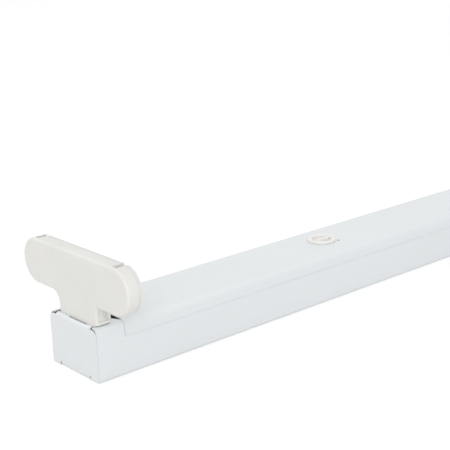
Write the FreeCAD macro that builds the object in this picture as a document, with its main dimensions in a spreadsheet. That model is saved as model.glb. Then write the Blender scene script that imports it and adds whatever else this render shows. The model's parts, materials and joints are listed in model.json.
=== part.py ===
import FreeCAD, Part
import math
import os

import Sketcher
from FreeCAD import Placement, Rotation, Vector

# Twin-lamp batten fitting for T8 tubes, lying on its flat mounting back.
# X runs along the batten, Y across it and Z up towards the tubes.
# The origin is on the back, in the middle. The photo's visible end is the left one, at -X.

SIZES = {
    # Folded steel base
    "batten_length": 614.2,
    "base_width": 39.6,
    "base_height": 27.4,
    "base_sheet": 0.5,
    "base_bend": 3.0,
    "floor_bend": 0.7,
    "lip_flat": 0.4,
    "wall_setback": 0.58,
    # End flap of the base
    "flap_tongue_inset": 7.5,
    "flap_notch_width": 1.0,
    "flap_notch_rise": 1.8,
    "flap_notch_depth": 1.9,
    "flap_shoulder_drop": 1.1,
    "flap_corner": 3.0,
    "flap_top_inset": 5.2,
    "flap_top_reach": 2.3,
    "return_notch_depth": 0.95,
    "return_notch_near": 10.4,
    "return_notch_far": 5.0,
    "return_hole_place": 8.0,
    "return_hole_radius": 0.5,
    "flap_top_bend": 1.9,
    "flap_foot_bend": 1.2,
    # Tabs of the base behind the lampholder
    "tab_reach_half": 8.0,
    "tab_corner_inset": 7.4,
    "tab_grip": 0.4,
    "tab_length": 3.9,
    "tab_flare": 2.1,
    # Holes in the base
    "fixing_inset": 82.1,
    "fixing_radius": 2.75,
    "fixing_slot_length": 12.0,
    "entry_place": 0.0,
    "entry_wire_gap": 4.4,
    # Folded steel cover
    "cover_sheet": 0.5,
    "cover_gap": 0.05,
    "cover_setback": 16.9,
    "cover_side_drop": 8.1,
    "stop_hole_radius": 0.9,
    "stop_hole_shift": 6.9,
    # Lampholders
    "holder_front": 2.4,
    "holder_split": 9.3,
    "holder_rear": 11.1,
    "tube_pitch": 66.3,
    "tube_height": 49.2,
    "head_radius": 11.85,
    "head_wall": 1.6,
    "head_wall_front": 1.5,
    "head_edge": 1.2,
    "stem_far_gap": 2.1,
    "stem_near_gap": 0.4,
    "stem_near_cover": 1.35,
    "stem_shoulder_gap": 0.65,
    "stem_wall": 2.1,
    "stem_bottom": 9.0,
    "stem_big_fillet": 5.8,
    "stem_small_fillet": 1.5,
    "stem_recess": 0.6,
    "stem_front_plate": 1.5,
    "stem_rib": 0.5,
    "stem_shoulder_height": 1.3,
    "nose_inner": 10.9,
    "nose_outer": 12.9,
    "nose_height": 2.4,
    "nose_reach": 0.7,
    "pin_slot": 3.4,
    "rear_edge": 0.6,
    # Rotors
    "rotor_radius": 8.8,
    "rotor_flange_rim": 0.6,
    "rotor_flange": 1.9,
    "rotor_play": 0.2,
    "rotor_slot": 2.9,
    "rotor_web": 1.05,
    "rotor_mark": 0.8,
    "rotor_mark_inset": 3.3,
    "running_gap": 0.06,
    # Contact strips and their wire entries
    "contact_radius": 7.8,
    "contact_thickness": 0.4,
    "contact_width": 1.2,
    "contact_gap": 0.3,
    "contact_room": 0.4,
    "contact_outer_rise": 2.0,
    "contact_inner_rise": 3.0,
    "contact_drop_gap": 2.1,
    "wire_entry_half": 6.0,
    "wire_entry_height": 14.0,
    # Turn-locks of the cover and their bridges
    "knob_inset": 172.0,
    "knob_head_radius": 8.2,
    "knob_head_height": 1.5,
    "knob_edge": 0.8,
    "knob_barrel_radius": 6.7,
    "knob_barrel_depth": 3.4,
    "knob_cup_radius": 5.8,
    "knob_cup_depth": 1.9,
    "knob_cup_floor": 0.6,
    "knob_rim_edge": 0.4,
    "knob_grip_width": 2.2,
    "knob_grip_drop": 0.4,
    "knob_grip_root": 0.4,
    "knob_lip": 0.5,
    "knob_lip_height": 0.6,
    "knob_stem_radius": 3.0,
    "knob_wing_width": 2.6,
    "knob_wing_half": 6.0,
    "knob_wing_height": 1.2,
    "knob_wing_gap": 0.3,
    "bridge_sheet": 1.0,
    "bridge_drop": 4.8,
    "bridge_length": 20.0,
    "bridge_bend": 2.0,
    "bridge_foot_rise": 0.7,
    # Terminal block
    "block_place": -45.0,
    "block_length": 18.0,
    "block_height": 13.0,
    "block_edge": 0.8,
    "pole_pitch": 8.0,
    "pole_count": 3,
    "pole_wall": 1.2,
    "way_height": 5.2,
    "insert_side": 4.8,
    "insert_length": 16.0,
    "insert_bore": 1.5,
    "clamp_spread": 4.4,
    "clamp_shank": 1.2,
    "clamp_head": 1.8,
    "clamp_head_height": 1.6,
    "clamp_head_lift": 1.2,
    "screw_slot_width": 0.5,
    "clamp_well": 2.0,
    "block_screw_shank": 1.3,
    "block_screw_head": 2.4,
    "block_screw_crown": 1.7,
    "block_screw_height": 1.4,
    # Earth point
    "earth_place": -76.0,
    "earth_offset": -9.0,
    "bush_radius": 3.5,
    "bush_height": 4.0,
    "stud_radius": 1.9,
    "tag_radius": 3.6,
    "tag_sheet": 0.8,
    "tag_arm": 5.6,
    "washer_radius": 3.4,
    "washer_height": 0.6,
    "tooth_count": 10,
    "tooth_gap_depth": 0.7,
    "tooth_gap_width": 0.6,
    "earth_head_radius": 3.5,
    "earth_head_height": 2.4,
    "earth_slot_width": 1.0,
    # Wires, clips and grommet
    "wire_radius": 1.1,
    "wire_lane_inset": 7.4,
    "wire_bow": 1.0,
    "wire_grip": 5.0,
    "wire_lead": 9.0,
    "wire_drop": 25.0,
    "wire_rise": 48.0,
    "wire_straight": 24.0,
    "wire_run": 41.0,
    "earth_wire_lead": 5.0,
    "earth_wire_slope": 5.5,
    "earth_wire_sway": 2.7,
    "clip_length": 5.0,
    "clip_wall": 1.2,
    "clip_margin": 0.3,
    "clip_wing": 1.8,
    "grommet_rim": 2.5,
    "grommet_edge": 0.8,
    "grommet_height": 3.0,
    "grommet_wall": 3.5,
    "seat_gap": 0.05,
}

# Sizes worked out from the driving ones.
DERIVED = {
    "flap_tongue_half": "( base_width / 2 - flap_tongue_inset )",
    "flap_shoulder": "( base_height - flap_shoulder_drop )",
    "flap_top_half": "( base_width / 2 - flap_top_inset )",
    "tab_corner_half": "( base_width / 2 - tab_corner_inset )",
    "stem_far": "( base_width / 2 - base_bend - lip_flat - stem_far_gap )",
    "stem_root": "( base_width / 2 - base_bend - lip_flat - stem_near_gap )",
    "stem_near": "( base_width / 2 - base_bend - lip_flat + stem_near_cover )",
    "stem_shoulder": "( base_height + stem_shoulder_gap )",
    "contact_drop_half": "( stem_far - stem_wall - contact_drop_gap )",
    "rotor_depth": "( holder_rear - holder_split + rotor_play + rotor_flange )",
    "contact_outer_start": "( holder_front + head_wall_front + contact_gap )",
    "contact_inner_start": "( holder_rear - rotor_depth - contact_gap - contact_width )",
    "bridge_top": "( base_height - bridge_drop )",
    "wire_lane": "( base_width / 2 - wire_lane_inset )",
    "entry_radius": "( wire_lane - entry_wire_gap )",
    "cover_top": "( base_height + cover_gap + cover_sheet )",
}

NUDGE = 0.001

# A cutter runs this far past the surface that it opens.
PAST = 1.0


def add_sheet(doc):
    """Spreadsheet with one aliased cell for each driving size."""
    sheet = doc.addObject("Spreadsheet::Sheet", "Sizes")
    for row, (alias, number) in enumerate(SIZES.items(), start=1):
        sheet.set(f"A{row}", alias)
        sheet.set(f"B{row}", str(number))
        sheet.setAlias(f"B{row}", alias)
    doc.recompute()
    return sheet


def named(expression):
    """Expression with derived names written out and every size name pointed at its cell."""
    words = expression.replace("(", " ( ").replace(")", " ) ").split()
    while any(word in DERIVED for word in words):
        words = " ".join(DERIVED.get(word, word) for word in words).split()
    return " ".join(f"Sizes.{word}" if word in SIZES else word for word in words)


def amount(expression):
    """Number that an expression gives now."""
    return float(FreeCAD.ActiveDocument.Sizes.evalExpression(named(expression)))


def bind(feature, target, expression):
    """Tie one property or constraint to the sheet."""
    feature.setExpression(target, named(expression))


def new_body(doc, label):
    """Empty body under its node's name."""
    body = doc.addObject("PartDesign::Body", label)
    body.Label = label
    return body


def new_sketch(body, name, plane, offset="0"):
    """Sketch on one of the body's origin planes, moved along the plane's normal."""
    sketch = body.newObject("Sketcher::SketchObject", name)
    base = next(item for item in body.Origin.OriginFeatures if item.Role == plane)
    sketch.AttachmentSupport = [(base, "")]
    sketch.MapMode = "FlatFace"
    if offset != "0":
        bind(sketch, "AttachmentOffset.Base.z", offset)
    return sketch


def hold(sketch, kind, geometry, point, expression):
    """Fix one coordinate of a sketch point to an expression."""
    number = amount(expression)
    if abs(number) < NUDGE:
        axis = -2 if kind == "DistanceX" else -1
        sketch.addConstraint(Sketcher.Constraint("PointOnObject", geometry, point, axis))
        return
    index = sketch.addConstraint(Sketcher.Constraint(kind, geometry, point, number))
    bind(sketch, f"Constraints[{index}]", expression)


def draw_outline(sketch, corners, arcs=None):
    """Closed outline through the corners, counter-clockwise.

    A side named in arcs is an arc about the centre given there instead of a line.
    """
    arcs = arcs or {}
    points = [Vector(amount(x), amount(y), 0) for x, y in corners]
    first = sketch.GeometryCount
    total = len(points)
    for side in range(total):
        start = points[side]
        end = points[(side + 1) % total]
        if side in arcs:
            centre = Vector(amount(arcs[side][0]), amount(arcs[side][1]), 0)
            start_angle = math.atan2(start.y - centre.y, start.x - centre.x)
            end_angle = math.atan2(end.y - centre.y, end.x - centre.x)
            if end_angle < start_angle + NUDGE:
                end_angle += 2 * math.pi
            circle = Part.Circle(centre, Vector(0, 0, 1), (start - centre).Length)
            sketch.addGeometry(Part.ArcOfCircle(circle, start_angle, end_angle), False)
        else:
            sketch.addGeometry(Part.LineSegment(start, end), False)
    for side in range(total):
        here = first + side
        after = first + (side + 1) % total
        sketch.addConstraint(Sketcher.Constraint("Coincident", here, 2, after, 1))
        hold(sketch, "DistanceX", here, 1, corners[side][0])
        hold(sketch, "DistanceY", here, 1, corners[side][1])
    for side, centre in arcs.items():
        start = points[side]
        end = points[(side + 1) % total]
        if abs(end.x - start.x) < abs(end.y - start.y):
            hold(sketch, "DistanceX", first + side, 3, centre[0])
        else:
            hold(sketch, "DistanceY", first + side, 3, centre[1])
    return sketch


def draw_circle(sketch, x, y, radius):
    """Full circle held by its centre and radius."""
    circle = Part.Circle(Vector(amount(x), amount(y), 0), Vector(0, 0, 1), amount(radius))
    index = sketch.addGeometry(circle, False)
    hold(sketch, "DistanceX", index, 3, x)
    hold(sketch, "DistanceY", index, 3, y)
    held = sketch.addConstraint(Sketcher.Constraint("Radius", index, amount(radius)))
    bind(sketch, f"Constraints[{held}]", radius)


def draw_box(sketch, x_low, x_high, y_low, y_high):
    """Rectangle between two pairs of limits."""
    corners = [(x_low, y_low), (x_high, y_low), (x_high, y_high), (x_low, y_high)]
    return draw_outline(sketch, corners)


def draw_slot(sketch, x, y, half_length, radius):
    """Slot with round ends, lying along the sketch's X."""
    low = f"{x} - ( {half_length} - {radius} )"
    high = f"{x} + ( {half_length} - {radius} )"
    bottom = f"{y} - {radius}"
    top = f"{y} + {radius}"
    corners = [(low, bottom), (high, bottom), (high, top), (low, top)]
    draw_outline(sketch, corners, {1: (high, y), 3: (low, y)})


def add_pad(body, name, profile, length, back=False, both=False):
    """Pad along the sketch's normal, against it, or to both sides."""
    pad = body.newObject("PartDesign::Pad", name)
    pad.Profile = profile
    bind(pad, "Length", length)
    pad.Reversed = back
    if both:
        pad.SideType = "Symmetric"
    body.Document.recompute()
    return pad


def add_pocket(body, name, profile, length, back=False):
    """Pocket that has to take material away."""
    before = body.Shape.Volume
    pocket = body.newObject("PartDesign::Pocket", name)
    pocket.Profile = profile
    bind(pocket, "Length", length)
    pocket.Reversed = back
    body.Document.recompute()
    if body.Shape.Volume > before - NUDGE:
        raise ValueError(f"{body.Label}: {name} cuts nothing")
    return pocket


def add_fillet(body, name, radius, chosen):
    """Fillet on the edges of the body's tip that a test picks out."""
    tip = body.Tip
    edges = [f"Edge{number}" for number, edge in enumerate(tip.Shape.Edges, start=1) if chosen(edge)]
    if not edges:
        raise ValueError(f"{body.Label}: {name} finds no edge")
    fillet = body.newObject("PartDesign::Fillet", name)
    fillet.Base = (tip, edges)
    bind(fillet, "Radius", radius)
    body.Document.recompute()
    return fillet


def near(value, target):
    return abs(value - target) < NUDGE * 10


def along(edge, axis):
    """True for a straight edge that runs along the named axis."""
    if len(edge.Vertexes) < 2:
        return False
    step = edge.Vertexes[-1].Point - edge.Vertexes[0].Point
    reach = {"x": step.x, "y": step.y, "z": step.z}[axis]
    return near(edge.Length, abs(reach)) and edge.Length > NUDGE


def middle(edge):
    return edge.CenterOfMass


def turn_half(body, name, originals):
    """Repeat features at the other end by a half turn about Z."""
    pattern = body.newObject("PartDesign::PolarPattern", name)
    pattern.Originals = originals
    axis = next(item for item in body.Origin.OriginFeatures if item.Role == "Z_Axis")
    pattern.Axis = (axis, [""])
    pattern.Angle = 360
    pattern.Occurrences = 2
    body.Tip = pattern
    body.Document.recompute()
    return pattern


END = "- batten_length / 2"


# Folded steel


def make_base_channel(doc):
    """Base folded from one sheet: channel, end flaps and the tabs that hold the lampholders."""
    body = new_body(doc, "base_channel")
    wall = "base_width / 2"
    inner = "( base_width / 2 - base_sheet )"
    lip = "( base_width / 2 - base_bend - lip_flat )"
    under = "base_height - base_sheet"
    profile = new_sketch(body, "channel_profile", "YZ_Plane")
    right = [
        (wall, "0"), (wall, "base_height"), (lip, "base_height"), (lip, under),
        (inner, under), (inner, "base_sheet"),
    ]
    left = [(f"- {y}", z) for y, z in reversed(right)]
    draw_outline(profile, right + left)
    add_pad(body, "channel", profile, "batten_length - 2 * wall_setback", both=True)

    half = amount("base_width / 2")
    height = amount("base_height")
    sheet = amount("base_sheet")

    def long_edge(y, z):
        return lambda edge: along(edge, "x") and near(abs(middle(edge).y), y) and near(middle(edge).z, z)

    add_fillet(body, "lip_inside", "base_bend - base_sheet", long_edge(half - sheet, height - sheet))
    add_fillet(body, "lip_outside", "base_bend", long_edge(half, height))
    add_fillet(body, "floor_inside", "floor_bend - base_sheet", long_edge(half - sheet, sheet))
    add_fillet(body, "floor_outside", "floor_bend", long_edge(half, 0))

    ends = [add_end_flap(body)] + add_end_returns(body) + [cut_bend_relief(body)]
    turn_half(body, "other_end", ends)
    round_end_bends(body)
    cut_return_notches(body)
    cut_base_holes(body)
    return body


def add_end_flap(body):
    """Flap folded up from the floor, with relief notches and clipped top corners, and its top return."""
    wall = "base_width / 2"
    notch = "( flap_tongue_half + flap_notch_width )"
    profile = new_sketch(body, "flap_profile", "YZ_Plane", END)
    right = [
        ("flap_tongue_half", "0"), ("flap_tongue_half", "flap_notch_rise"), (notch, "flap_notch_rise"),
        (notch, "0"), (wall, "0"), (wall, "flap_shoulder - flap_corner"),
        (f"{wall} - flap_corner", "flap_shoulder"), ("flap_top_half", "flap_shoulder"),
        ("flap_top_half", "base_height"),
    ]
    left = [(f"- ( {y} )", z) for y, z in reversed(right)]
    arc_centre = (f"{wall} - flap_corner", "flap_shoulder - flap_corner")
    mirrored = (f"- ( {wall} - flap_corner )", "flap_shoulder - flap_corner")
    side_of_arc = 5
    side_of_mirror = len(right) + len(left) - 2 - side_of_arc
    draw_outline(profile, right + left, {side_of_arc: arc_centre, side_of_mirror: mirrored})
    return add_pad(body, "flap", profile, "base_sheet")


def add_end_returns(body):
    """Tongue of floor to the flap, the flap's top return and the two tabs behind the lampholder."""
    front = "( holder_rear - tab_grip )"
    rear = f"( {front} + tab_length )"
    flare = f"( {rear} + tab_flare )"
    root = "( base_width / 2 - base_bend - lip_flat / 2 )"
    tabs = new_sketch(body, "tab_profile", "XY_Plane", "base_height - base_sheet")

    def from_end(x):
        return f"{END} + {x}"

    near_tab = [
        (from_end(front), f"- {root}"), (from_end(flare), f"- {root}"),
        (from_end(rear), "- tab_corner_half"), (from_end(rear), "- tab_reach_half"),
        (from_end(front), "- tab_reach_half"),
    ]
    far_tab = [
        (from_end(front), "tab_reach_half"), (from_end(rear), "tab_reach_half"),
        (from_end(rear), "tab_corner_half"), (from_end(flare), root), (from_end(front), root),
    ]
    draw_outline(tabs, near_tab)
    draw_outline(tabs, far_tab)
    draw_box(tabs, END, from_end("flap_top_reach"), "- flap_top_half", "flap_top_half")
    top = add_pad(body, "tabs", tabs, "base_sheet")
    tongue = new_sketch(body, "tongue_profile", "XY_Plane")
    draw_box(tongue, END, from_end("( wall_setback + base_bend )"), "- flap_tongue_half", "flap_tongue_half")
    return [top, add_pad(body, "tongue", tongue, "base_sheet")]


def cut_bend_relief(body):
    """Relief notch in the floor on each side of the flap's tongue."""
    relief = new_sketch(body, "relief_profile", "XY_Plane")
    outside = "( flap_tongue_half + flap_notch_width )"
    for low, high in ((f"- {outside}", "- flap_tongue_half"), ("flap_tongue_half", outside)):
        draw_box(relief, f"{END} + base_sheet", f"{END} + flap_notch_depth", low, high)
    return add_pocket(body, "relief", relief, "base_sheet", back=True)


def round_end_bends(body):
    """Bend radii where the flap leaves the floor and where it folds over at the top."""
    end = amount("batten_length / 2")
    sheet = amount("base_sheet")
    height = amount("base_height")

    def cross_edge(inset, z, half):
        def chosen(edge):
            here = middle(edge)
            return (along(edge, "y") and near(abs(here.x), end - inset) and near(here.z, z)
                    and edge.Length < 2 * half + NUDGE and near(here.y, 0))
        return chosen

    tongue = amount("flap_tongue_half")
    top = amount("flap_top_half")
    add_fillet(body, "foot_inside", "flap_foot_bend - base_sheet", cross_edge(sheet, sheet, tongue))
    add_fillet(body, "foot_outside", "flap_foot_bend", cross_edge(0, 0, tongue))
    add_fillet(body, "top_inside", "flap_top_bend - base_sheet", cross_edge(sheet, height - sheet, top))
    add_fillet(body, "top_outside", "flap_top_bend", cross_edge(0, height, top))


def cut_return_notches(body):
    """Shallow notch and small round hole in the rear edge of each flap's top return."""
    notches = new_sketch(body, "return_notches", "XY_Plane", "base_height")
    edge = "( batten_length / 2 - flap_top_reach )"
    inner = f"( {edge} - {PAST / 2} )"
    deep = f"( {edge} + return_notch_depth )"
    draw_box(notches, f"- {deep}", f"- {inner}", "- return_notch_near", "return_notch_far")
    draw_box(notches, inner, deep, "- return_notch_far", "return_notch_near")
    draw_circle(notches, f"- {edge}", "return_hole_place", "return_hole_radius")
    draw_circle(notches, edge, "- return_hole_place", "return_hole_radius")
    add_pocket(body, "return_notch_cut", notches, "base_sheet")


def cut_base_holes(body):
    """Two fixing slots, the cable entry and the hole for the terminal block's screw."""
    holes = new_sketch(body, "floor_holes", "XY_Plane")
    for sign in ("-", ""):
        place = f"{sign} ( batten_length / 2 - fixing_inset )"
        draw_slot(holes, place, "0", "fixing_slot_length / 2", "fixing_radius")
    draw_circle(holes, "entry_place", "0", "entry_radius")
    draw_circle(holes, "block_place", "pole_pitch / 2", "block_screw_shank + seat_gap")
    add_pocket(body, "floor_cut", holes, "base_sheet", back=True)


def make_cover(doc):
    """Shallow channel folded from one sheet that closes the base, with a hole for each turn-lock."""
    body = new_body(doc, "cover")
    outer = "( base_width / 2 + cover_gap + cover_sheet )"
    inner = "( base_width / 2 + cover_gap )"
    top = "cover_top"
    under = "( base_height + cover_gap )"
    bottom = "( cover_top - cover_side_drop )"
    profile = new_sketch(body, "cover_profile", "YZ_Plane")
    right = [(inner, bottom), (outer, bottom), (outer, top)]
    left = [(f"- {outer}", top), (f"- {outer}", bottom), (f"- {inner}", bottom)]
    inside = [(f"- {inner}", under), (inner, under)]
    draw_outline(profile, right + left + inside)
    add_pad(body, "cover_sheet", profile, "batten_length - 2 * cover_setback", both=True)

    half = amount(outer)
    height = amount(top)
    sheet = amount("cover_sheet")

    def long_edge(y, z):
        return lambda edge: along(edge, "x") and near(abs(middle(edge).y), y) and near(middle(edge).z, z)

    add_fillet(body, "fold_inside", "base_bend + cover_gap", long_edge(half - sheet, height - sheet))
    add_fillet(body, "fold_outside", "base_bend + cover_gap + cover_sheet", long_edge(half, height))
    holes = new_sketch(body, "lock_holes", "XY_Plane", top)
    for sign in ("-", ""):
        place = f"{sign} ( batten_length / 2 - knob_inset )"
        inward = "+" if sign else "-"
        stop = f"{place} {inward} stop_hole_shift"
        draw_circle(holes, place, "0", "knob_barrel_radius + running_gap")
        draw_circle(holes, stop, f"{sign} stop_hole_shift", "stop_hole_radius")
    add_pocket(body, "lock_cut", holes, "2 * cover_sheet")
    return body


# Lampholders


def head_outline(sketch, inset, bottom, shoulder=False):
    """T-shaped outline of the lampholder, drawn in by an inset, with or without its near shoulder."""
    radius = f"( head_radius - {inset} )"
    lobe = "( tube_pitch / 2 )"
    top = f"( tube_height + {radius} )"
    under = f"( tube_height - {radius} )"
    corners = [(lobe, under), (lobe, top), (f"- {lobe}", top), (f"- {lobe}", under)]
    if shoulder:
        corners += [
            ("- stem_near", under), ("- stem_near", "stem_shoulder"), ("- stem_root", "stem_shoulder"),
            ("- stem_root", bottom), ("stem_far", bottom), ("stem_far", under),
        ]
    else:
        near_side = "( stem_wall - stem_root )"
        far_side = "( stem_far - stem_wall )"
        corners += [(near_side, under), (near_side, bottom), (far_side, bottom), (far_side, under)]
    draw_outline(sketch, corners, {0: (lobe, "tube_height"), 2: (f"- {lobe}", "tube_height")})


def round_stem_corners(body):
    """Large fillet where the head meets the stem on one side and a small one on the other."""
    under = amount("tube_height - head_radius")

    def corner(place):
        def chosen(edge):
            here = middle(edge)
            return along(edge, "x") and near(here.y, place) and near(here.z, under)
        return chosen

    add_fillet(body, "stem_big_corner", "stem_big_fillet", corner(amount("stem_far")))
    add_fillet(body, "stem_small_corner", "stem_small_fillet", corner(-amount("stem_near")))


def round_face_edge(body, name, plane, radius):
    """Rounded rim of a flat face across X, everywhere above the shoulder and down the far side."""
    face = amount(plane)
    above = amount("stem_shoulder") + NUDGE

    def chosen(edge):
        box = edge.BoundBox
        return near(box.XMin, face) and near(box.XMax, face) and box.ZMax > above

    add_fillet(body, name, radius, chosen)


def recess_limits():
    """Outer limit, floor and rib crest of the stem's recess across the batten, and its height."""
    outside = f"- ( stem_near + {PAST} )"
    floor = "- ( stem_near - stem_recess )"
    crest = "- ( stem_near - stem_recess + stem_rib )"
    height = "( tube_height - head_radius ) - ( stem_shoulder + stem_shoulder_height ) - stem_small_fillet"
    return outside, floor, crest, height


def cut_ribbed_recess(body):
    """Shallow recess with two upright ribs in the front part of the stem's side."""
    outside, floor, crest, height = recess_limits()
    recess = new_sketch(body, "recess_profile", "XY_Plane", "stem_shoulder + stem_shoulder_height")
    first = "( holder_front + stem_front_plate )"

    def before_split(ribs):
        return f"( holder_split - {ribs} * stem_rib )"

    corners = [(first, outside), ("holder_split", outside), ("holder_split", floor)]
    for rib in (1, 3):
        corners += [
            (before_split(rib), floor), (before_split(rib), crest),
            (before_split(rib + 1), crest), (before_split(rib + 1), floor),
        ]
    corners.append((first, floor))
    draw_outline(recess, corners)
    add_pocket(body, "recess", recess, height, back=True)


def cut_plain_recess(body):
    """The recess's rear end, in the edge of the tube-side plate."""
    outside, floor, _, height = recess_limits()
    recess = new_sketch(body, "recess_profile", "XY_Plane", "stem_shoulder + stem_shoulder_height")
    draw_box(recess, "holder_split", "holder_rear", outside, floor)
    add_pocket(body, "recess", recess, height, back=True)


def make_holder_shell(doc, label):
    """Front housing of the double lampholder, open towards the tubes."""
    body = new_body(doc, label)
    outline = new_sketch(body, "shell_outline", "YZ_Plane", "holder_front")
    head_outline(outline, "0", "stem_bottom", shoulder=True)
    add_pad(body, "shell", outline, "holder_split - holder_front")
    round_stem_corners(body)
    round_face_edge(body, "front_edge", "holder_front", "head_edge")
    cut_ribbed_recess(body)

    wide = new_sketch(body, "rotor_room", "YZ_Plane", "holder_split")
    head_outline(wide, "head_wall", "stem_bottom + head_wall")
    add_pocket(body, "rotor_pocket", wide, "rotor_flange + rotor_play + seat_gap")
    deep = new_sketch(body, "contact_room", "YZ_Plane", "holder_split")
    ledge = "( head_radius - contact_radius - contact_thickness - contact_room )"
    head_outline(deep, ledge, "stem_bottom + head_wall")
    add_pocket(body, "contact_pocket", deep, "holder_split - holder_front - head_wall_front")
    cut_pin_slots(body, "holder_split", "holder_split - holder_front - head_wall_front")
    add_snap_noses(body)
    return body


def cut_pin_slots(body, plane, depth):
    """Slot above each tube centre through which the pins drop in."""
    slots = new_sketch(body, "pin_slots", "YZ_Plane", plane)
    for sign in ("-", ""):
        low = f"{sign} ( tube_pitch / 2 ) - pin_slot / 2"
        high = f"{sign} ( tube_pitch / 2 ) + pin_slot / 2"
        draw_box(slots, low, high, "tube_height", f"tube_height + head_radius + {PAST}")
    add_pocket(body, "pin_slot_cut", slots, depth)


def add_snap_noses(body):
    """Two small noses that catch under the flap's top return."""
    noses = new_sketch(body, "nose_profile", "YZ_Plane", "holder_front + head_edge")
    top = "( base_height - base_sheet - 2 * seat_gap )"
    draw_box(noses, "nose_inner", "nose_outer", f"{top} - nose_height", top)
    draw_box(noses, "- nose_outer", "- nose_inner", f"{top} - nose_height", top)
    add_pad(body, "noses", noses, "nose_reach + head_edge", back=True)


def make_holder_back(doc, label):
    """Tube-side plate of the lampholder, with the rotor bores, pin slots and wire entries."""
    body = new_body(doc, label)
    outline = new_sketch(body, "plate_outline", "YZ_Plane", "holder_split")
    head_outline(outline, "0", "stem_bottom", shoulder=True)
    add_pad(body, "plate", outline, "holder_rear - holder_split")
    round_stem_corners(body)
    round_face_edge(body, "rear_edge", "holder_rear", "rear_edge")
    cut_plain_recess(body)
    bores = new_sketch(body, "rotor_bores", "YZ_Plane", "holder_rear")
    for sign in ("-", ""):
        draw_circle(bores, f"{sign} tube_pitch / 2", "tube_height", "rotor_radius + running_gap")
        draw_circle(bores, f"{sign} wire_entry_half", "wire_entry_height", "wire_radius + seat_gap")
    add_pocket(body, "rotor_bore_cut", bores, "holder_rear - holder_split")
    cut_pin_slots(body, "holder_rear", "holder_rear - holder_split")
    groove = new_sketch(body, "tab_groove", "XY_Plane", "base_height - base_sheet - seat_gap")
    reach = f"( stem_near + {PAST} )"
    draw_box(groove, "holder_rear - tab_grip - seat_gap", f"holder_rear + {PAST}", f"- {reach}", reach)
    add_pocket(body, "tab_groove_cut", groove, "base_sheet + 2 * seat_gap", back=True)
    return body


def make_rotor(doc, label):
    """Rotor with a slot for the tube's pins, open at the top at rest, and two pointer grooves."""
    body = new_body(doc, label)
    drum = new_sketch(body, "drum_circle", "YZ_Plane", "holder_rear")
    draw_circle(drum, "0", "0", "rotor_radius")
    add_pad(body, "drum", drum, "rotor_depth", back=True)
    flange = new_sketch(body, "flange_circle", "YZ_Plane", "holder_rear - rotor_depth")
    draw_circle(flange, "0", "0", "rotor_radius + rotor_flange_rim")
    add_pad(body, "flange", flange, "rotor_flange")
    slot = new_sketch(body, "slot_outline", "YZ_Plane", "holder_rear")
    half = "( rotor_slot / 2 )"
    low = "( - rotor_radius + rotor_web + rotor_slot / 2 )"
    top = f"( rotor_radius + rotor_flange_rim + {PAST} )"
    corners = [(f"- {half}", low), (half, low), (half, top), (f"- {half}", top)]
    draw_outline(slot, corners, {0: ("0", low)})
    add_pocket(body, "slot_cut", slot, "rotor_depth")
    marks = new_sketch(body, "pointer_marks", "YZ_Plane", "holder_rear")
    side = "rotor_mark / 2"
    for sign in ("-", ""):
        centre = f"{sign} ( rotor_radius - rotor_mark_inset )"
        draw_box(marks, f"{centre} - rotor_mark", f"{centre} + rotor_mark", f"- {side}", side)
    add_pocket(body, "mark_cut", marks, "rotor_mark / 2")
    return body


def strip_side(points, bend, shift):
    """Edges of one side of a folded strip: its middle line moved sideways by a shift."""
    count = len(points)
    directions = [(points[i + 1] - points[i]).normalize() for i in range(count - 1)]
    edges = []
    last = None
    for i, direction in enumerate(directions):
        normal = Vector(-direction.y, direction.x, 0)
        start = points[i] + normal * shift if last is None else last
        if i == count - 2:
            edges.append(Part.LineSegment(start, points[-1] + normal * shift).toShape())
            break
        after = directions[i + 1]
        turn = direction.x * after.y - direction.y * after.x
        angle = math.atan2(turn, direction.dot(after))
        set_back = bend * math.tan(abs(angle) / 2)
        arc_start = points[i + 1] - direction * set_back + normal * shift
        after_normal = Vector(-after.y, after.x, 0)
        arc_end = points[i + 1] + after * set_back + after_normal * shift
        hand = 1 if angle > 0 else -1
        centre = points[i + 1] - direction * set_back + normal * (hand * bend)
        between = (normal + after_normal).normalize()
        arc_middle = centre - between * (hand * bend - shift)
        edges.append(Part.LineSegment(start, arc_start).toShape())
        edges.append(Part.Arc(arc_start, arc_middle, arc_end).toShape())
        last = arc_end
    return edges


def strip_face(points, bend, thickness):
    """Flat face of a folded strip seen along its width."""
    one = strip_side(points, bend, thickness / 2)
    other = strip_side(points, bend, -thickness / 2)
    ends = [
        Part.LineSegment(one[0].Vertexes[0].Point, other[0].Vertexes[0].Point).toShape(),
        Part.LineSegment(one[-1].Vertexes[-1].Point, other[-1].Vertexes[-1].Point).toShape(),
    ]
    wire = Part.Wire(Part.__sortEdges__(one + other + ends))
    return Part.Face(wire)


def contact_strip(points, bend, start):
    """Contact strip folded across the lampholder, its width along X."""
    size = SIZES
    face = strip_face(points, bend, size["contact_thickness"])
    solid = face.extrude(Vector(0, 0, size["contact_width"]))
    to_row = FreeCAD.Matrix(0, 0, 1, start, 1, 0, 0, 0, 0, 1, 0, 0, 0, 0, 0, 1)
    return solid.transformGeometry(to_row)


def make_outer_contact(doc, label):
    """Strip that runs under both rotors and up the outer side of each."""
    size = SIZES
    reach = size["tube_pitch"] / 2 + size["contact_radius"]
    low = size["tube_height"] - size["contact_radius"]
    high = size["tube_height"] + size["contact_outer_rise"]
    points = [Vector(-reach, high, 0), Vector(-reach, low, 0), Vector(reach, low, 0), Vector(reach, high, 0)]
    bend = size["contact_radius"] - NUDGE
    feature = doc.addObject("Part::Feature", label)
    feature.Label = label
    feature.Shape = contact_strip(points, bend, amount("contact_outer_start"))
    return feature


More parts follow.
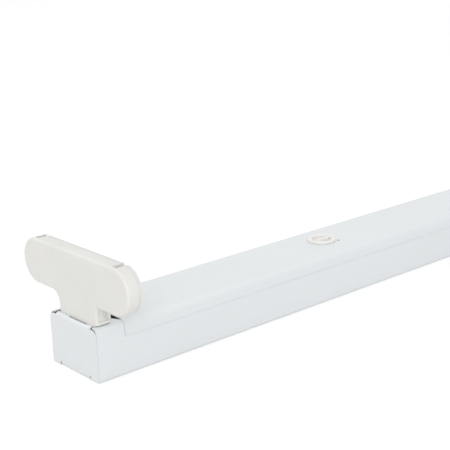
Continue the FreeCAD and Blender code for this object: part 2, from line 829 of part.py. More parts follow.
def make_inner_contact(doc, label):
    """Strip up the inner side of each rotor, joined down in the stem where the wire enters."""
    size = SIZES
    leaf = size["tube_pitch"] / 2 - size["contact_radius"]
    high = size["tube_height"] + size["contact_inner_rise"]
    shelf = size["tube_height"] - size["contact_radius"]
    drop = amount("contact_drop_half")
    low = size["wire_entry_height"]
    right = [Vector(drop, low, 0), Vector(drop, shelf, 0), Vector(leaf, shelf, 0), Vector(leaf, high, 0)]
    left = [Vector(-point.x, point.y, 0) for point in reversed(right)]
    feature = doc.addObject("Part::Feature", label)
    feature.Label = label
    feature.Shape = contact_strip(left + right, 3 * size["contact_thickness"], amount("contact_inner_start"))
    return feature


# Turn-locks


def make_knob(doc, label):
    """Turn-lock of the cover: cup with a grip bar, barrel, stem and two wings below the bridge."""
    body = new_body(doc, label)
    head_low = "( cover_top + seat_gap )"
    head_top = f"( {head_low} + knob_head_height )"
    head = new_sketch(body, "head_circle", "XY_Plane", head_low)
    draw_circle(head, "0", "0", "knob_head_radius")
    add_pad(body, "head", head, "knob_head_height")
    rim = amount(head_top)
    add_fillet(body, "head_edge", "knob_edge", lambda edge: near(edge.BoundBox.ZMin, rim)
               and near(edge.BoundBox.ZMax, rim))
    barrel = new_sketch(body, "barrel_circle", "XY_Plane", head_low)
    draw_circle(barrel, "0", "0", "knob_barrel_radius")
    add_pad(body, "barrel", barrel, "knob_barrel_depth", back=True)
    lip = new_sketch(body, "lip_circle", "XY_Plane", "base_height + cover_gap - seat_gap")
    draw_circle(lip, "0", "0", "knob_barrel_radius + knob_lip")
    add_pad(body, "lip", lip, "knob_lip_height", back=True)
    wing_top = "( bridge_top - bridge_sheet - knob_wing_gap )"
    stem = new_sketch(body, "stem_circle", "XY_Plane", f"{head_low} - knob_barrel_depth")
    draw_circle(stem, "0", "0", "knob_stem_radius")
    stem_length = f"{head_low} - knob_barrel_depth - {wing_top} + knob_wing_height"
    add_pad(body, "stem", stem, stem_length, back=True)
    wings = new_sketch(body, "wing_outline", "XY_Plane", wing_top)
    draw_box(wings, "- knob_wing_width / 2", "knob_wing_width / 2", "- knob_wing_half", "knob_wing_half")
    add_pad(body, "wings", wings, "knob_wing_height", back=True)
    cup = new_sketch(body, "cup_halves", "XY_Plane", head_top)
    draw_circle(cup, "0", "0", "knob_cup_radius")
    add_pocket(body, "cup", cup, "knob_cup_depth")
    floor = amount(f"{head_top} - knob_cup_depth")
    bore = amount("knob_cup_radius")

    def round_at(level):
        return lambda edge: (near(edge.BoundBox.ZMin, level) and near(edge.BoundBox.ZMax, level)
                             and near(edge.BoundBox.XMax, bore))

    add_fillet(body, "cup_floor", "knob_cup_floor", round_at(floor))
    add_fillet(body, "cup_rim", "knob_rim_edge", round_at(rim))
    grip = new_sketch(body, "grip_outline", "XY_Plane", f"{head_top} - knob_cup_depth")
    across = "knob_grip_width / 2"
    reach = "( knob_cup_radius + knob_grip_root )"
    draw_box(grip, f"- {reach}", reach, f"- {across}", across)
    add_pad(body, "grip", grip, "knob_cup_depth - knob_grip_drop")
    return body


def make_lock_bridge(doc, label):
    """Steel bridge across the base that the turn-lock grips from above."""
    body = new_body(doc, label)
    outer = "( base_width / 2 - base_sheet )"
    inner = f"( {outer} - bridge_sheet )"
    foot = "( base_sheet + bridge_foot_rise )"
    under = "( bridge_top - bridge_sheet )"
    profile = new_sketch(body, "bridge_profile", "YZ_Plane")
    right = [(inner, foot), (outer, foot), (outer, "bridge_top")]
    left = [(f"- {outer}", "bridge_top"), (f"- {outer}", foot), (f"- {inner}", foot)]
    inside = [(f"- {inner}", under), (inner, under)]
    draw_outline(profile, right + left + inside)
    add_pad(body, "strap", profile, "bridge_length", both=True)
    half = amount(outer)
    top = amount("bridge_top")
    sheet = amount("bridge_sheet")

    def long_edge(y, z):
        return lambda edge: along(edge, "x") and near(abs(middle(edge).y), y) and near(middle(edge).z, z)

    add_fillet(body, "bridge_inside", "bridge_bend - bridge_sheet", long_edge(half - sheet, top - sheet))
    add_fillet(body, "bridge_outside", "bridge_bend", long_edge(half, top))
    keyhole = new_sketch(body, "keyhole_round", "XY_Plane", "bridge_top")
    draw_circle(keyhole, "0", "0", "knob_stem_radius + running_gap")
    add_pocket(body, "keyhole_round_cut", keyhole, "bridge_sheet")
    slot = new_sketch(body, "keyhole_slot", "XY_Plane", "bridge_top")
    draw_slot(slot, "0", "0", "knob_wing_half + knob_wing_gap", "knob_wing_width / 2 + knob_wing_gap")
    add_pocket(body, "keyhole_slot_cut", slot, "bridge_sheet")
    return body


# Terminal block


def pole_places():
    """Y of each pole of the terminal block, as expressions."""
    first = "- pole_pitch * ( pole_count - 1 ) / 2"
    return [f"( {first} + {number} * pole_pitch )" for number in range(int(SIZES["pole_count"]))]


def make_terminal_body(doc):
    """Moulded block with a square way and two screw wells for each pole."""
    body = new_body(doc, "terminal_body")
    half = "( block_length / 2 )"
    width = "( pole_pitch * pole_count / 2 + pole_wall / 2 )"
    base = new_sketch(body, "block_outline", "XY_Plane", "base_sheet")
    draw_box(base, f"- {half}", half, f"- {width}", width)
    add_pad(body, "block", base, "block_height")
    low = amount("base_sheet")
    add_fillet(body, "block_edges", "block_edge", lambda edge: edge.BoundBox.ZMax > low + NUDGE * 10)
    ways = new_sketch(body, "ways", "YZ_Plane", half)
    side = "( insert_side / 2 + seat_gap )"
    for place in pole_places():
        draw_box(ways, f"{place} - {side}", f"{place} + {side}",
                 f"base_sheet + way_height - {side}", f"base_sheet + way_height + {side}")
    add_pocket(body, "way_cut", ways, "block_length")
    wells = new_sketch(body, "wells", "XY_Plane", "base_sheet + block_height")
    for place in pole_places():
        for sign in ("-", ""):
            draw_circle(wells, f"{sign} clamp_spread", place, "clamp_well")
    add_pocket(body, "well_cut", wells, "block_height - way_height - insert_side / 2")
    fixing = new_sketch(body, "fixing_hole", "XY_Plane", "base_sheet + block_height")
    draw_circle(fixing, "0", "pole_pitch / 2", "block_screw_shank + seat_gap")
    add_pocket(body, "fixing_cut", fixing, "block_height")
    bind(body, "Placement.Base.x", "block_place")
    return body


def make_group(doc, label, parts):
    """Identical pieces of one node, kept as separate solids."""
    group = doc.addObject("Part::Compound", label)
    group.Label = label
    group.Links = parts
    return group


def placed(doc, kind, name, x, y, z, **sizes):
    """Part primitive whose place and sizes follow the sheet."""
    item = doc.addObject(f"Part::{kind}", name)
    for key, expression in sizes.items():
        bind(item, key, expression)
    bind(item, "Placement.Base.x", x)
    bind(item, "Placement.Base.y", y)
    bind(item, "Placement.Base.z", z)
    return item


def cut(doc, name, base, tool):
    """Boolean difference of two features."""
    result = doc.addObject("Part::Cut", name)
    result.Base = base
    result.Tool = tool
    return result


def fuse(doc, name, pieces):
    """Boolean union of several features."""
    result = doc.addObject("Part::MultiFuse", name)
    result.Shapes = pieces
    return result


def screw_slot(doc, name, floor_centre, head_radius, width):
    """Cutter for a driver slot, standing on the slot's floor and as high as the head is wide."""
    x, y, z = floor_centre
    return placed(doc, "Box", name, f"{x} - {head_radius} - {PAST}", f"{y} - {width} / 2", z,
                  Length=f"2 * {head_radius} + 2 * {PAST}", Width=width, Height=f"2 * {head_radius}")


def make_terminal_inserts(doc):
    """Brass bars with a wire bore along them and a clamp screw hole near each end."""
    bars = []
    for number, place in enumerate(pole_places(), start=1):
        side = "insert_side"
        low = "( base_sheet + way_height - insert_side / 2 )"
        bar = placed(doc, "Box", f"insert_{number}_bar", "block_place - insert_length / 2",
                     f"{place} - insert_side / 2", low, Length="insert_length", Width=side, Height=side)
        bore = placed(doc, "Cylinder", f"insert_{number}_bore",
                      f"block_place - insert_length / 2 - {PAST}", place, "base_sheet + way_height",
                      Radius="insert_bore", Height=f"insert_length + 2 * {PAST}")
        bore.Placement.Rotation = Rotation(Vector(0, 1, 0), 90)
        tools = [bore]
        for sign in ("-", "+"):
            hole = placed(doc, "Cylinder", f"insert_{number}_hole{len(tools)}",
                          f"block_place {sign} clamp_spread", place, "base_sheet + way_height",
                          Radius="clamp_shank + seat_gap", Height="insert_side")
            tools.append(hole)
        bars.append(cut(doc, f"insert_{number}", bar, fuse(doc, f"insert_{number}_holes", tools)))
    return make_group(doc, "terminal_inserts", bars)


def make_clamp_screws(doc):
    """Slotted clamp screws that press on the wires, two for each pole."""
    screws = []
    for place in pole_places():
        for sign in ("-", "+"):
            number = len(screws) + 1
            x = f"block_place {sign} clamp_spread"
            tip = "( base_sheet + way_height + wire_radius + seat_gap )"
            seat = "( base_sheet + way_height + insert_side / 2 + clamp_head_lift )"
            shank = placed(doc, "Cylinder", f"clamp_{number}_shank", x, place, tip,
                           Radius="clamp_shank", Height=f"{seat} - {tip}")
            head = placed(doc, "Cylinder", f"clamp_{number}_head", x, place, seat,
                          Radius="clamp_head", Height="clamp_head_height")
            slot = screw_slot(doc, f"clamp_{number}_slot", (x, place, f"{seat} + clamp_head_height / 2"),
                              "clamp_head", "screw_slot_width")
            body = fuse(doc, f"clamp_{number}_body", [shank, head])
            screws.append(cut(doc, f"clamp_{number}", body, slot))
    return make_group(doc, "terminal_clamp_screws", screws)


def make_block_screw(doc):
    """Pan-head screw that fastens the terminal block to the base."""
    top = "( base_sheet + block_height )"
    shank = placed(doc, "Cylinder", "block_screw_rod", "block_place", "pole_pitch / 2", "seat_gap",
                   Radius="block_screw_shank", Height=f"{top} - seat_gap")
    head = placed(doc, "Cone", "block_screw_dome", "block_place", "pole_pitch / 2", top,
                  Radius1="block_screw_head", Radius2="block_screw_crown", Height="block_screw_height")
    slot_floor = ("block_place", "pole_pitch / 2", f"{top} + block_screw_height / 2")
    slot = screw_slot(doc, "block_screw_cut", slot_floor, "block_screw_head", "screw_slot_width")
    body = fuse(doc, "block_screw_body", [shank, head])
    screw = cut(doc, "terminal_fixing_screw", body, slot)
    screw.Label = "terminal_fixing_screw"
    return screw


# Earth point


def ring(doc, label, low, radius, height, hole):
    """Flat or tall ring on the earth point's axis."""
    at = ("earth_place", "earth_offset")
    outside = placed(doc, "Cylinder", f"{label}_outside", *at, low, Radius=radius, Height=height)
    inside = placed(doc, "Cylinder", f"{label}_inside", *at, f"{low} - {PAST}",
                    Radius=hole, Height=f"{height} + 2 * {PAST}")
    return outside, inside


def washer_gaps(doc, low):
    """Cutters for the gaps between the washer's teeth."""
    gaps = []
    count = int(SIZES["tooth_count"])
    centre = Vector(amount("earth_place"), amount("earth_offset"), amount(low) - PAST)
    for number in range(count):
        gap = doc.addObject("Part::Box", f"washer_gap_{number + 1}")
        bind(gap, "Length", f"tooth_gap_depth + {PAST}")
        bind(gap, "Width", "tooth_gap_width")
        bind(gap, "Height", f"washer_height + 2 * {PAST}")
        turn = Rotation(Vector(0, 0, 1), 360 * number / count)
        rim = Vector(amount("washer_radius - tooth_gap_depth"), amount("- tooth_gap_width / 2"), 0)
        gap.Placement = Placement(centre + turn.multVec(rim), turn)
        gaps.append(gap)
    return gaps


def make_earth_point(doc):
    """Bush fixed on the base's floor, ring tag of the earth wire, toothed washer and screw."""
    hole = "( stud_radius + seat_gap )"
    bush_low = "base_sheet"
    tag_low = "( base_sheet + bush_height )"
    washer_low = f"( {tag_low} + tag_sheet )"
    head_low = f"( {washer_low} + washer_height )"
    bush = cut(doc, "earth_bush", *ring(doc, "earth_bush", bush_low, "bush_radius", "bush_height", hole))
    disc, centre = ring(doc, "earth_tag", tag_low, "tag_radius", "tag_sheet", hole)
    arm = placed(doc, "Box", "earth_tag_arm", f"earth_place + stud_radius + {PAST}",
                 "earth_offset - wire_radius", tag_low,
                 Length="tag_arm", Width="2 * wire_radius", Height="tag_sheet")
    tag = cut(doc, "earth_tag", fuse(doc, "earth_tag_plate", [disc, arm]), centre)
    washer = cut(doc, "washer_blank",
                 *ring(doc, "washer", washer_low, "washer_radius", "washer_height", hole))
    toothed = cut(doc, "earth_washer", washer, fuse(doc, "washer_gaps", washer_gaps(doc, washer_low)))
    shank = placed(doc, "Cylinder", "earth_screw_shank", "earth_place", "earth_offset",
                   "base_sheet + seat_gap", Radius="stud_radius", Height=f"{head_low} - base_sheet")
    head = placed(doc, "Cylinder", "earth_screw_head", "earth_place", "earth_offset", head_low,
                  Radius="earth_head_radius", Height="earth_head_height")
    slot_floor = ("earth_place", "earth_offset", f"{head_low} + earth_head_height / 2")
    slot = screw_slot(doc, "earth_screw_slot", slot_floor, "earth_head_radius", "earth_slot_width")
    screw = cut(doc, "earth_screw", fuse(doc, "earth_screw_body", [shank, head]), slot)
    return [bush, tag, toothed, screw]


# Wires, clips and grommet


def bend_radius(before, corner, after):
    """Largest arc that both runs at a corner allow, and the length it takes from each."""
    incoming = corner - before
    outgoing = after - corner
    turn = incoming.getAngle(outgoing)
    reach = 0.45 * min(incoming.Length, outgoing.Length)
    return reach / math.tan(turn / 2), reach


def wire_path(points):
    """Straight runs joined by tangent arcs."""
    edges = []
    here = points[0]
    for before, corner, after in zip(points, points[1:], points[2:]):
        radius, reach = bend_radius(before, corner, after)
        incoming = (corner - before).normalize()
        outgoing = (after - corner).normalize()
        arc_start = corner - incoming * reach
        arc_end = corner + outgoing * reach
        inward = (outgoing - incoming).normalize()
        centre = corner + inward * math.hypot(radius, reach)
        arc_middle = centre - inward * radius
        edges.append(Part.LineSegment(here, arc_start).toShape())
        edges.append(Part.Arc(arc_start, arc_middle, arc_end).toShape())
        here = arc_end
    edges.append(Part.LineSegment(here, points[-1]).toShape())
    return Part.Wire(edges)


def make_wire(doc, label, points, radius):
    """Insulated wire along a path."""
    path = wire_path(points)
    along_start = (points[1] - points[0]).normalize()
    section = Part.Wire(Part.Circle(points[0], along_start, radius).toShape())
    feature = doc.addObject("Part::Feature", label)
    feature.Label = label
    feature.Shape = path.makePipeShell([section], True, True)
    return feature


def wire_route(side):
    """Route of a lamp wire from the terminal block to the lampholder at one end.

    On the floor it keeps to one side in a long gentle bow, in runs that shorten towards its ends.
    """
    size = SIZES
    pole = size["pole_pitch"]
    floor = size["base_sheet"] + size["wire_radius"] + size["seat_gap"]
    way = size["base_sheet"] + size["way_height"]
    lane = amount("wire_lane")
    entry = size["wire_entry_half"]
    entry_height = size["wire_entry_height"]
    contact = size["batten_length"] / 2 - amount("contact_inner_start + contact_width + seat_gap")
    start = size["block_place"] + side * (size["insert_length"] / 2 - size["wire_grip"])
    face = size["block_place"] + side * size["block_length"] / 2
    first_x = face + side * size["wire_drop"]
    last_x = side * (contact - size["wire_rise"])
    runs = max(3, math.ceil(abs(last_x - first_x) / size["wire_run"]))
    points = [Vector(start, -side * pole, way), Vector(face + side * size["wire_lead"], -side * pole, way)]
    for number in range(runs + 1):
        share = number / runs
        eased = share - math.sin(2 * math.pi * share) / (4 * math.pi)
        bow = size["wire_bow"] * math.sin(math.pi * share)
        points.append(Vector(first_x + (last_x - first_x) * eased, -side * (lane + bow), floor))
    points.append(Vector(side * (contact - size["wire_straight"]), -side * entry, entry_height))
    points.append(Vector(side * contact, -side * entry, entry_height))
    return points


def earth_route():
    """Route of the short earth wire from the block's middle pole to the tag."""
    size = SIZES
    way = size["base_sheet"] + size["way_height"]
    tag_top = size["base_sheet"] + size["bush_height"] + size["tag_sheet"]
    above_tag = tag_top + size["wire_radius"] + size["seat_gap"]
    face = size["block_place"] - size["block_length"] / 2
    lead = face - size["earth_wire_lead"]
    tag = size["earth_place"] + size["washer_radius"] + size["wire_radius"]
    return [
        Vector(face + size["wire_grip"], 0, way),
        Vector(lead, 0, way),
        Vector(lead - size["earth_wire_slope"], size["earth_offset"] + size["earth_wire_sway"], above_tag),
        Vector(tag, size["earth_offset"], above_tag),
    ]


def make_wires(doc):
    """Neutral wire to the left lampholder, live wire to the right one and the short earth wire."""
    routes = {"neutral_wire": wire_route(-1), "live_wire": wire_route(1), "earth_wire": earth_route()}
    wires = []
    for label, points in routes.items():
        wires.append(make_wire(doc, label, points, SIZES["wire_radius"]))
        radii = [bend_radius(*corner)[0] for corner in zip(points, points[1:], points[2:])]
        print(f"{label}: smallest bend radius {min(radii):.1f} mm")
    return wires


def make_wire_clips(doc):
    """Adhesive clips that hold the two lamp wires down, one on each side of the middle of its bow."""
    solids = []
    for side in (-1, 1):
        on_floor = wire_route(side)[2:-2]
        middle_run = (len(on_floor) - 1) // 2
        for run in (middle_run - 1, middle_run + 1):
            before = on_floor[run]
            after = on_floor[run + 1]
            solids.append(clip_solid((before + after) * 0.5, after - before))
    feature = doc.addObject("Part::Feature", "wire_clips")
    feature.Label = "wire_clips"
    feature.Shape = Part.makeCompound(solids)
    return feature


def clip_solid(spot, direction):
    """Saddle with a round top over the wire."""
    size = SIZES
    floor = size["base_sheet"]
    bore = size["wire_radius"] + size["clip_margin"]
    outside = bore + size["clip_wall"]
    length = size["clip_length"]
    centre_height = spot.z - floor
    foot = 2 * (outside + size["clip_wing"])
    plate = Part.makeBox(length, foot, size["clip_wall"], Vector(-length / 2, -foot / 2, 0))
    hoop = Part.makeCylinder(outside, length, Vector(-length / 2, 0, centre_height), Vector(1, 0, 0))
    cutter = length + 2 * PAST
    way = Part.makeCylinder(bore, cutter, Vector(-cutter / 2, 0, centre_height), Vector(1, 0, 0))
    below = Part.makeBox(cutter, foot, outside, Vector(-cutter / 2, -foot / 2, -outside))
    solid = plate.fuse(hoop).cut(way).cut(below).removeSplitter()
    yaw = math.degrees(math.atan2(direction.y, direction.x))
    solid.Placement = Placement(Vector(spot.x, spot.y, floor), Rotation(Vector(0, 0, 1), yaw))
    return solid


def make_grommet(doc):
    """Rubber bush in the cable entry, flush with the mounting back."""
    body = new_body(doc, "cable_grommet")
    neck = new_sketch(body, "neck_circle", "XY_Plane")
    draw_circle(neck, "0", "0", "entry_radius - seat_gap")
    add_pad(body, "neck", neck, "base_sheet")
    flange = new_sketch(body, "flange_circle", "XY_Plane", "base_sheet")
    draw_circle(flange, "0", "0", "entry_radius + grommet_rim")
    add_pad(body, "flange", flange, "grommet_height")
    top = amount("base_sheet + grommet_height")
    add_fillet(body, "flange_edge", "grommet_edge", lambda edge: near(edge.BoundBox.ZMin, top)
               and near(edge.BoundBox.ZMax, top))
    bore = new_sketch(body, "bore_circle", "XY_Plane", "base_sheet + grommet_height")
    draw_circle(bore, "0", "0", "entry_radius - grommet_wall")
    add_pocket(body, "bore_cut", bore, "base_sheet + grommet_height")
    bind(body, "Placement.Base.x", "entry_place")
    return body


# Assembly


def seat_at_end(feature, side, y="0", z="0"):
    """Seat a piece drawn from the left end face at either end; the right end is a half turn round."""
    turn = 0 if side < 0 else 180
    sign = "-" if side < 0 else ""
    if feature.TypeId == "Part::Feature":
        place = Vector(amount(f"{sign} batten_length / 2"), amount(y), amount(z))
        feature.Placement = Placement(place, Rotation(Vector(0, 0, 1), turn))
        return
    feature.Placement = Placement(Vector(0, 0, 0), Rotation(Vector(0, 0, 1), turn))
    bind(feature, "Placement.Base.x", f"{sign} batten_length / 2")
    bind(feature, "Placement.Base.y", y)
    bind(feature, "Placement.Base.z", z)


def make_end(doc, name, side):
    """Everything that stands at one end of the batten."""
    pieces = [
        make_holder_shell(doc, f"{name}_holder_shell"),
        make_holder_back(doc, f"{name}_holder_back"),
        make_outer_contact(doc, f"{name}_outer_contact"),
        make_inner_contact(doc, f"{name}_inner_contact"),
    ]
    for piece in pieces:
        seat_at_end(piece, side)
    for row, sign in (("near", "-"), ("far", "")):
        rotor = make_rotor(doc, f"{name}_{row}_rotor")
        seat_at_end(rotor, side, f"{sign} tube_pitch / 2", "tube_height")
        pieces.append(rotor)
    sign = "-" if side < 0 else ""
    for piece in (make_knob(doc, f"{name}_cover_knob"), make_lock_bridge(doc, f"{name}_lock_bridge")):
        bind(piece, "Placement.Base.x", f"{sign} ( batten_length / 2 - knob_inset )")
        pieces.append(piece)
    return pieces


def check_and_export(doc, pieces):
    """Stop on a failed feature or a bad shape, then write one file for each node."""
    doc.recompute()
    for item in doc.Objects:
        if "Invalid" in item.State or "Error" in item.State:
            raise ValueError(f"{item.Label} failed: {item.State}")
    for piece in pieces:
        shape = piece.Shape
        if shape.isNull() or not shape.isValid() or not shape.Solids:
            raise ValueError(f"{piece.Label} has no valid solid")
    for piece in pieces:
        piece.Shape.exportStep(os.path.join("parts", f"{piece.Label}.step"))
        print(f"{piece.Label}: {len(piece.Shape.Solids)} solid(s), {piece.Shape.Volume:.1f} mm3")


def main():
    os.makedirs("parts", exist_ok=True)
    doc = FreeCAD.newDocument("batten")
    add_sheet(doc)
    pieces = [make_base_channel(doc), make_cover(doc)]
    pieces += make_end(doc, "left", -1)
    pieces += make_end(doc, "right", 1)
    pieces += [make_terminal_body(doc), make_terminal_inserts(doc), make_clamp_screws(doc)]
    pieces.append(make_block_screw(doc))
    pieces += make_earth_point(doc)
    pieces += make_wires(doc)
    pieces.append(make_wire_clips(doc))
    pieces.append(make_grommet(doc))
    check_and_export(doc, pieces)


main()
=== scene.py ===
import json
import math

import bpy
from mathutils import Matrix, Vector

# Looks of the twin-lamp batten fitting: finishes, floor, light and camera.
# The row frame has X along the batten, Y across it and Z up, in metres.

MM = 0.001

# Camera of the photograph, found by fitting the batten's edges in its 450 by 450 pixels
CAMERA_PLACE = Vector((-0.5727349, -0.4294807, 0.2212169))
CAMERA_AZIMUTH = math.radians(40.34162538)
CAMERA_DROP = math.radians(16.59586935)
CAMERA_ROLL = math.radians(1.96475959)
SENSOR_WIDTH = 36.0
FOCAL_PIXELS = 1105.54417
PHOTO_PIXELS = 450
CLIP_NEAR = 0.01
CLIP_FAR = 50

# Moulded plastic, which lets a little light in
SUBSURFACE_WEIGHT = 0.35
SUBSURFACE_DEPTH = 1.8 * MM
SUBSURFACE_REACH = (1.0, 0.9, 0.75)
PLASTIC_GLOSS_SPREAD = 0.05

# Where a blend of two colours starts and ends, of a noise from 0 to 1
BLEND_START = 0.35
BLEND_END = 0.65

# Floor and world
FLOOR_SIZE = 12
FLOOR_DROP = 0.2 * MM
FLOOR_GREY = 0.8
FLOOR_LIFT = 0.3
WORLD_STRENGTH = 1.06

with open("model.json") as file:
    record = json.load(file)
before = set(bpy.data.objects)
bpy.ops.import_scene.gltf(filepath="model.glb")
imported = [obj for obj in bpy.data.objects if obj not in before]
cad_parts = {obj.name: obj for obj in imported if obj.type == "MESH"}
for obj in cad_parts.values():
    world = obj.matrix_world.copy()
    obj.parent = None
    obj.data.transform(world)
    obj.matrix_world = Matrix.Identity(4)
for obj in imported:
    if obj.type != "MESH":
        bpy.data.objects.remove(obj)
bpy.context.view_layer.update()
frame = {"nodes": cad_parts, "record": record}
nodes = frame["nodes"]


# Node helpers


def start_material(name):
    """New material with its shader and an object-space coordinate."""
    material = bpy.data.materials.new(name)
    material.use_nodes = True
    tree = material.node_tree
    shader = tree.nodes["Principled BSDF"]
    place = tree.nodes.new("ShaderNodeTexCoord").outputs["Object"]
    return material, tree, shader, place


def add_noise(tree, place, size, detail=2.0, stretch=None):
    """Noise whose blotches are about the given size, in metres."""
    if stretch is not None:
        mapping = tree.nodes.new("ShaderNodeMapping")
        mapping.inputs["Scale"].default_value = stretch
        tree.links.new(place, mapping.inputs["Vector"])
        place = mapping.outputs["Vector"]
    noise = tree.nodes.new("ShaderNodeTexNoise")
    noise.inputs["Scale"].default_value = 1.0 / size
    noise.inputs["Detail"].default_value = detail
    tree.links.new(place, noise.inputs["Vector"])
    return noise.outputs["Fac"]


def spread_gloss(tree, shader, factor, low, high):
    """Roughness between two numbers, by a factor from 0 to 1."""
    spread = tree.nodes.new("ShaderNodeMapRange")
    spread.inputs["To Min"].default_value = low
    spread.inputs["To Max"].default_value = high
    tree.links.new(factor, spread.inputs["Value"])
    tree.links.new(spread.outputs["Result"], shader.inputs["Roughness"])


def spread_colour(tree, shader, factor, first, second):
    """Base colour between two, by a factor from 0 to 1."""
    ramp = tree.nodes.new("ShaderNodeValToRGB")
    ramp.color_ramp.elements[0].color = (*first, 1)
    ramp.color_ramp.elements[0].position = BLEND_START
    ramp.color_ramp.elements[1].color = (*second, 1)
    ramp.color_ramp.elements[1].position = BLEND_END
    tree.links.new(factor, ramp.inputs["Fac"])
    tree.links.new(ramp.outputs["Color"], shader.inputs["Base Color"])


def add_bump(tree, shader, height, depth, rounding=None):
    """Relief of the given depth, in metres, on edges rounded by a small radius."""
    bump = tree.nodes.new("ShaderNodeBump")
    bump.inputs["Strength"].default_value = 1.0
    bump.inputs["Distance"].default_value = depth
    tree.links.new(height, bump.inputs["Height"])
    if rounding is not None:
        bevel = tree.nodes.new("ShaderNodeBevel")
        bevel.inputs["Radius"].default_value = rounding
        tree.links.new(bevel.outputs["Normal"], bump.inputs["Normal"])
    tree.links.new(bump.outputs["Normal"], shader.inputs["Normal"])


def scale_colour(colour, share):
    """Colour with each channel times a share."""
    return tuple(channel * share for channel in colour)


# Finishes


def painted_steel(paint):
    """White powder coat: faint orange peel and a little unevenness of colour and gloss."""
    material, tree, shader, place = start_material("white_powder_coat")
    spread_colour(tree, shader, add_noise(tree, place, size=45 * MM), scale_colour(paint, 0.985), paint)
    spread_gloss(tree, shader, add_noise(tree, place, size=6 * MM, detail=3.0), low=0.27, high=0.35)
    peel = add_noise(tree, place, size=1.6 * MM)
    add_bump(tree, shader, peel, depth=0.012 * MM, rounding=0.18 * MM)
    return material


def moulded_plastic(name, colour, rough, rounding):
    """Moulded plastic: fine spark-eroded grain and soft edges."""
    material, tree, shader, place = start_material(name)
    spread_colour(tree, shader, add_noise(tree, place, size=18 * MM), scale_colour(colour, 0.975), colour)
    haze = add_noise(tree, place, size=3 * MM, detail=3.0)
    spread_gloss(tree, shader, haze, rough - PLASTIC_GLOSS_SPREAD, rough + PLASTIC_GLOSS_SPREAD)
    shader.inputs["Subsurface Weight"].default_value = SUBSURFACE_WEIGHT
    shader.inputs["Subsurface Scale"].default_value = SUBSURFACE_DEPTH
    shader.inputs["Subsurface Radius"].default_value = SUBSURFACE_REACH
    grain = add_noise(tree, place, size=0.35 * MM)
    add_bump(tree, shader, grain, depth=0.006 * MM, rounding=rounding)
    return material


def clouded_metal(name, dull, bright, gloss, cloud_size, line_size, stretch, depth, rounding):
    """Bare metal: a clouded sheen, and fine lines along the way that it was rolled."""
    material, tree, shader, place = start_material(name)
    shader.inputs["Metallic"].default_value = 1.0
    cloud = add_noise(tree, place, cloud_size, detail=4.0)
    spread_colour(tree, shader, cloud, dull, bright)
    spread_gloss(tree, shader, cloud, *gloss)
    add_bump(tree, shader, add_noise(tree, place, line_size, stretch=stretch), depth, rounding)
    return material


def smooth_jacket(tree, shader, place):
    """Gloss and faint unevenness of drawn insulation."""
    spread_gloss(tree, shader, add_noise(tree, place, size=2 * MM), low=0.3, high=0.42)
    add_bump(tree, shader, add_noise(tree, place, size=0.8 * MM), depth=0.01 * MM)


def wire_jacket(name, colour):
    """Smooth insulation, slightly uneven in colour."""
    material, tree, shader, place = start_material(name)
    spread_colour(tree, shader, add_noise(tree, place, size=9 * MM), scale_colour(colour, 0.85), colour)
    smooth_jacket(tree, shader, place)
    return material


def earth_jacket(green, yellow, stripe_pitch):
    """Green insulation with a yellow stripe along each side."""
    material, tree, shader, place = start_material("earth_jacket")
    wave = tree.nodes.new("ShaderNodeTexWave")
    wave.bands_direction = "Z"
    wave.inputs["Scale"].default_value = 1.0 / stripe_pitch
    tree.links.new(place, wave.inputs["Vector"])
    spread_colour(tree, shader, wave.outputs["Fac"], green, yellow)
    smooth_jacket(tree, shader, place)
    return material


def black_rubber(dark, dusty):
    """Matt rubber with a dusty bloom."""
    material, tree, shader, place = start_material("black_rubber")
    bloom = add_noise(tree, place, size=4 * MM, detail=4.0)
    spread_colour(tree, shader, bloom, dark, dusty)
    spread_gloss(tree, shader, bloom, low=0.62, high=0.78)
    skin = add_noise(tree, place, size=0.5 * MM, detail=3.0)
    add_bump(tree, shader, skin, depth=0.015 * MM, rounding=0.2 * MM)
    return material


def make_finishes():
    """Blender material of each material slot in the record."""
    return {
        "white_steel": painted_steel((0.775, 0.805, 0.82)),
        "holder_plastic": moulded_plastic("holder_plastic", (0.785, 0.78, 0.75), 0.42, 0.22 * MM),
        "rotor_plastic": moulded_plastic("rotor_plastic", (0.77, 0.755, 0.72), 0.38, 0.15 * MM),
        "knob_plastic": moulded_plastic("knob_plastic", (0.85, 0.835, 0.80), 0.24, 0.2 * MM),
        "terminal_plastic": moulded_plastic("terminal_plastic", (0.74, 0.74, 0.69), 0.4, 0.2 * MM),
        "plain_steel": clouded_metal(
            "zinc_plate", dull=(0.55, 0.56, 0.58), bright=(0.66, 0.67, 0.68), gloss=(0.28, 0.42),
            cloud_size=5 * MM, line_size=0.4 * MM, stretch=(0.1, 1.0, 1.0),
            depth=0.004 * MM, rounding=0.1 * MM),
        "contact_brass": clouded_metal(
            "strip_brass", dull=(0.68, 0.5, 0.22), bright=(0.78, 0.6, 0.3), gloss=(0.24, 0.36),
            cloud_size=4 * MM, line_size=0.3 * MM, stretch=(1.0, 0.1, 0.1),
            depth=0.003 * MM, rounding=0.08 * MM),
        "wire_blue": wire_jacket("blue_jacket", (0.03, 0.13, 0.5)),
        "wire_brown": wire_jacket("brown_jacket", (0.2, 0.07, 0.025)),
        "wire_green": earth_jacket((0.05, 0.3, 0.05), (0.75, 0.62, 0.04), stripe_pitch=6.6 * MM),
        "grommet_rubber": black_rubber((0.02, 0.02, 0.021), (0.035, 0.035, 0.036)),
    }


def dress_nodes(finishes):
    """Give every CAD node the finish of its material slot."""
    slots = {row["node"]: row["material_slot"] for row in frame["record"]["subparts"]}
    for name, node in nodes.items():
        node.data.materials.clear()
        node.data.materials.append(finishes[slots[name]])


# Floor, light and camera


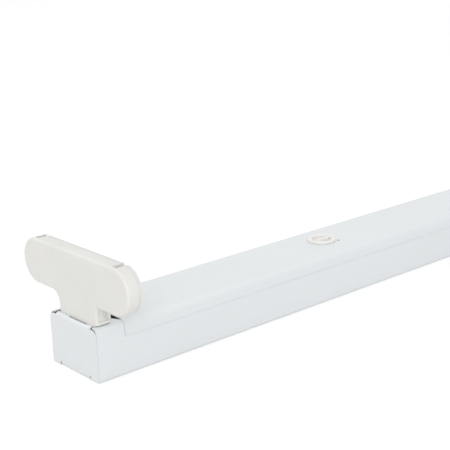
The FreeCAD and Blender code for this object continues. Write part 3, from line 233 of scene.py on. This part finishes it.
def larger(tree, first, second):
    """The larger of two numbers."""
    node = tree.nodes.new("ShaderNodeMath")
    node.operation = "MAXIMUM"
    tree.links.new(first, node.inputs[0])
    tree.links.new(second, node.inputs[1])
    return node.outputs[0]


def mix_by_ray(tree, lit, seen, output):
    """One shader for the rays that carry light, and one for what the camera sees, also by reflection."""
    rays = tree.nodes.new("ShaderNodeLightPath").outputs
    direct = larger(tree, rays["Is Camera Ray"], rays["Is Glossy Ray"])
    choice = tree.nodes.new("ShaderNodeMixShader")
    tree.links.new(larger(tree, direct, rays["Is Transmission Ray"]), choice.inputs[0])
    tree.links.new(lit.outputs[0], choice.inputs[1])
    tree.links.new(seen.outputs[0], choice.inputs[2])
    tree.links.new(choice.outputs[0], output.inputs["Surface"])


def make_floor():
    """White floor that keeps the object's shadow."""
    bpy.ops.mesh.primitive_plane_add(size=FLOOR_SIZE, location=(0, 0, -FLOOR_DROP))
    floor = bpy.context.object
    floor.name = "floor"
    material = bpy.data.materials.new("white_floor")
    material.use_nodes = True
    tree = material.node_tree
    tree.nodes.clear()
    output = tree.nodes.new("ShaderNodeOutputMaterial")
    matt = tree.nodes.new("ShaderNodeBsdfDiffuse")
    matt.inputs["Color"].default_value = (FLOOR_GREY, FLOOR_GREY, FLOOR_GREY, 1)
    lift = tree.nodes.new("ShaderNodeEmission")
    lift.inputs["Strength"].default_value = FLOOR_LIFT
    lifted = tree.nodes.new("ShaderNodeAddShader")
    tree.links.new(matt.outputs[0], lifted.inputs[0])
    tree.links.new(lift.outputs[0], lifted.inputs[1])
    mix_by_ray(tree, matt, lifted, output)
    floor.data.materials.append(material)


def make_world():
    """Even studio light, with pure white behind the object."""
    world = bpy.data.worlds.new("studio")
    bpy.context.scene.world = world
    world.use_nodes = True
    tree = world.node_tree
    tree.nodes.clear()
    output = tree.nodes.new("ShaderNodeOutputWorld")
    light = tree.nodes.new("ShaderNodeBackground")
    light.inputs["Strength"].default_value = WORLD_STRENGTH
    seen = tree.nodes.new("ShaderNodeBackground")
    seen.inputs["Color"].default_value = (1, 1, 1, 1)
    mix_by_ray(tree, light, seen, output)


def add_softbox(name, place, target, width, power):
    """Square lamp that points at a target."""
    lamp = bpy.data.lights.new(name, "AREA")
    lamp.shape = "RECTANGLE"
    lamp.size = width
    lamp.size_y = width
    lamp.energy = power
    box = bpy.data.objects.new(name, lamp)
    bpy.context.scene.collection.objects.link(box)
    box.location = place
    aim = Vector(target) - Vector(place)
    box.rotation_euler = aim.to_track_quat("-Z", "Y").to_euler()


def make_lights():
    """Large soft lamp at the camera's left, and a small one from behind for the edges."""
    add_softbox("key", place=(-1.25, -1.52, 0.9), target=(-0.1, 0, 0.02), width=1.2, power=10.4)
    add_softbox("rim", place=(-0.75, 1.1, 0.95), target=(-0.2, 0, 0.03), width=0.6, power=1.6)


def make_camera():
    """Camera at the photograph's view, turned by its azimuth, drop and roll."""
    lens = bpy.data.cameras.new("photo_camera")
    lens.sensor_width = SENSOR_WIDTH
    lens.lens = FOCAL_PIXELS / PHOTO_PIXELS * SENSOR_WIDTH
    lens.clip_start = CLIP_NEAR
    lens.clip_end = CLIP_FAR
    camera = bpy.data.objects.new("photo_camera", lens)
    bpy.context.scene.collection.objects.link(camera)
    heading = Matrix.Rotation(-CAMERA_AZIMUTH, 4, "Z")
    tilt = Matrix.Rotation(math.pi / 2 - CAMERA_DROP, 4, "X")
    roll = Matrix.Rotation(-CAMERA_ROLL, 4, "Z")
    camera.matrix_world = Matrix.Translation(CAMERA_PLACE) @ heading @ tilt @ roll
    bpy.context.scene.camera = camera


def main():
    dress_nodes(make_finishes())
    make_floor()
    make_world()
    make_lights()
    make_camera()
    bpy.context.scene.view_settings.view_transform = "Standard"


main()
